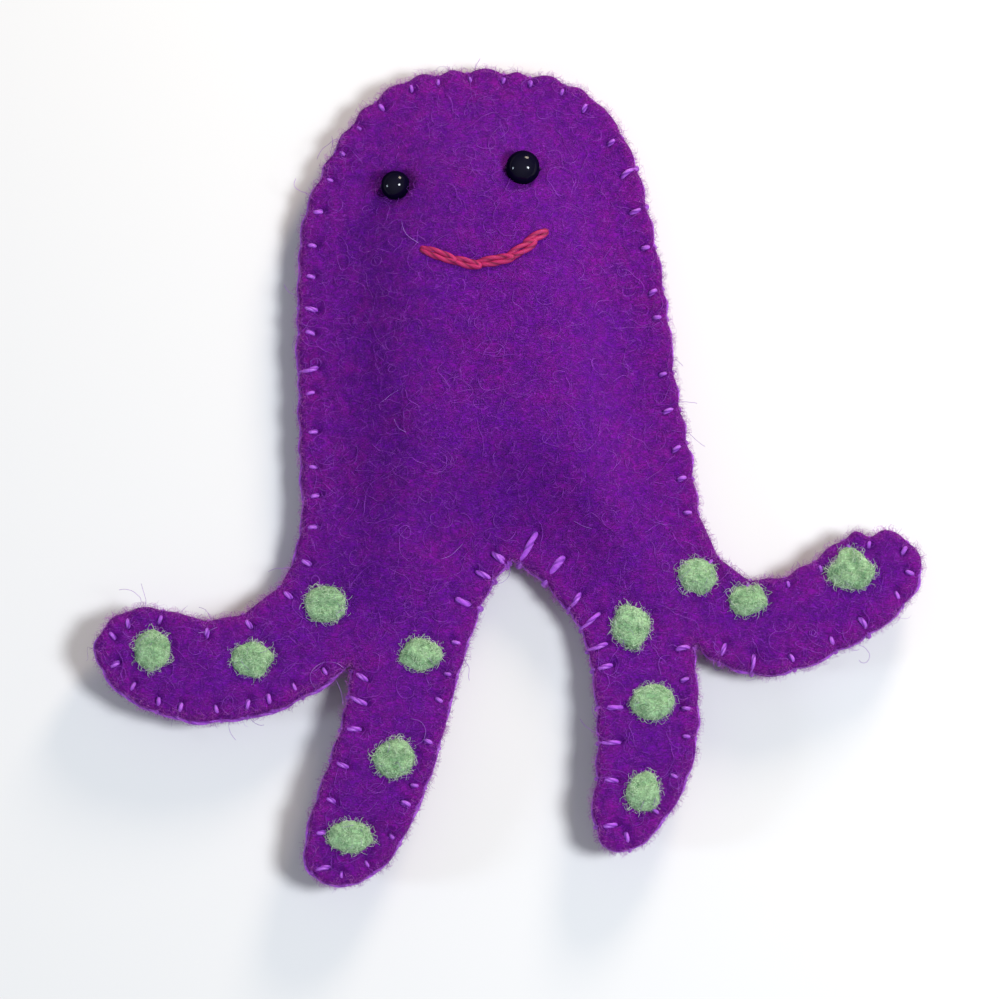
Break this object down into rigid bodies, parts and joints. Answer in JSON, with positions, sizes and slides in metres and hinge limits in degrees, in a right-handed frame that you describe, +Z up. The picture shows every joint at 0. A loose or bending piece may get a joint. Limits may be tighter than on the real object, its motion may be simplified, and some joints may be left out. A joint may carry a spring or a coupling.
{
  "type": "felt octopus finger puppet",
  "caption": "Felt octopus finger puppet, two layers joined by blanket stitch round the edge, with wool spots, bead eyes and a stitched smile.",
  "frame": {"origin": "on the table under the middle of the whole outline", "axes": "+Z up out of the face, +Y towards the head, +X to the right as the face is seen"},
  "size_m": [0.0838, 0.0844, 0.0107],
  "materials": {
    "felt": "matte",
    "seam_thread": "satin",
    "mouth_thread": "satin",
    "eye_thread": "matte",
    "spot_wool": "matte",
    "bead": "gloss"
  },
  "bodies": {
    "root": {"back_panel": "felt", "front_panel": "felt", "seam_thread": "seam_thread", "eye_bead_left": "bead", "eye_bead_right": "bead", "eye_thread": "eye_thread", "mouth_thread": "mouth_thread", "spot_left_arm_outer": "spot_wool", "spot_left_arm_middle": "spot_wool", "spot_left_arm_inner": "spot_wool", "spot_left_leg_upper": "spot_wool", "spot_left_leg_middle": "spot_wool", "spot_left_leg_tip": "spot_wool", "spot_right_leg_upper": "spot_wool", "spot_right_leg_middle": "spot_wool", "spot_right_leg_tip": "spot_wool", "spot_right_arm_inner": "spot_wool", "spot_right_arm_middle": "spot_wool", "spot_right_arm_outer": "spot_wool"}
  },
  "joints": []
}
